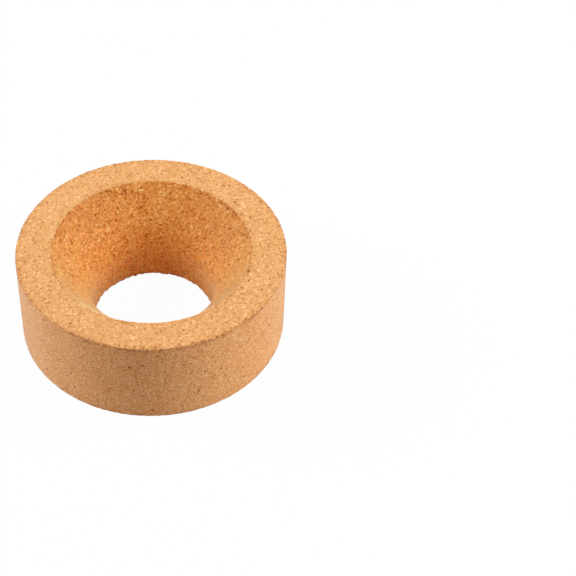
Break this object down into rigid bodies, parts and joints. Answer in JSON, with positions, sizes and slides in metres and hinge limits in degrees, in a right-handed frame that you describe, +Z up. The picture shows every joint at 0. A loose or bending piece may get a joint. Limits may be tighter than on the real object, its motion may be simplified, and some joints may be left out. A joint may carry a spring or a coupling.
{
  "type": "cork ring",
  "caption": "Thick turned ring of pressed cork granules with a flat base, a straight bore and a bell-shaped seat that holds a round-bottomed flask upright.",
  "frame": {"origin": "on the ring's axis, in the plane of its flat base", "axes": "+Z up along the ring's axis and out of the seat's wide mouth; X and Y lie in the base and are interchangeable"},
  "size_m": [0.11, 0.11, 0.04],
  "materials": {
    "cork": "pressed cork granules, turned and sanded, matt and slightly rough"
  },
  "bodies": {
    "root": {"cork_ring": "cork"}
  },
  "joints": []
}
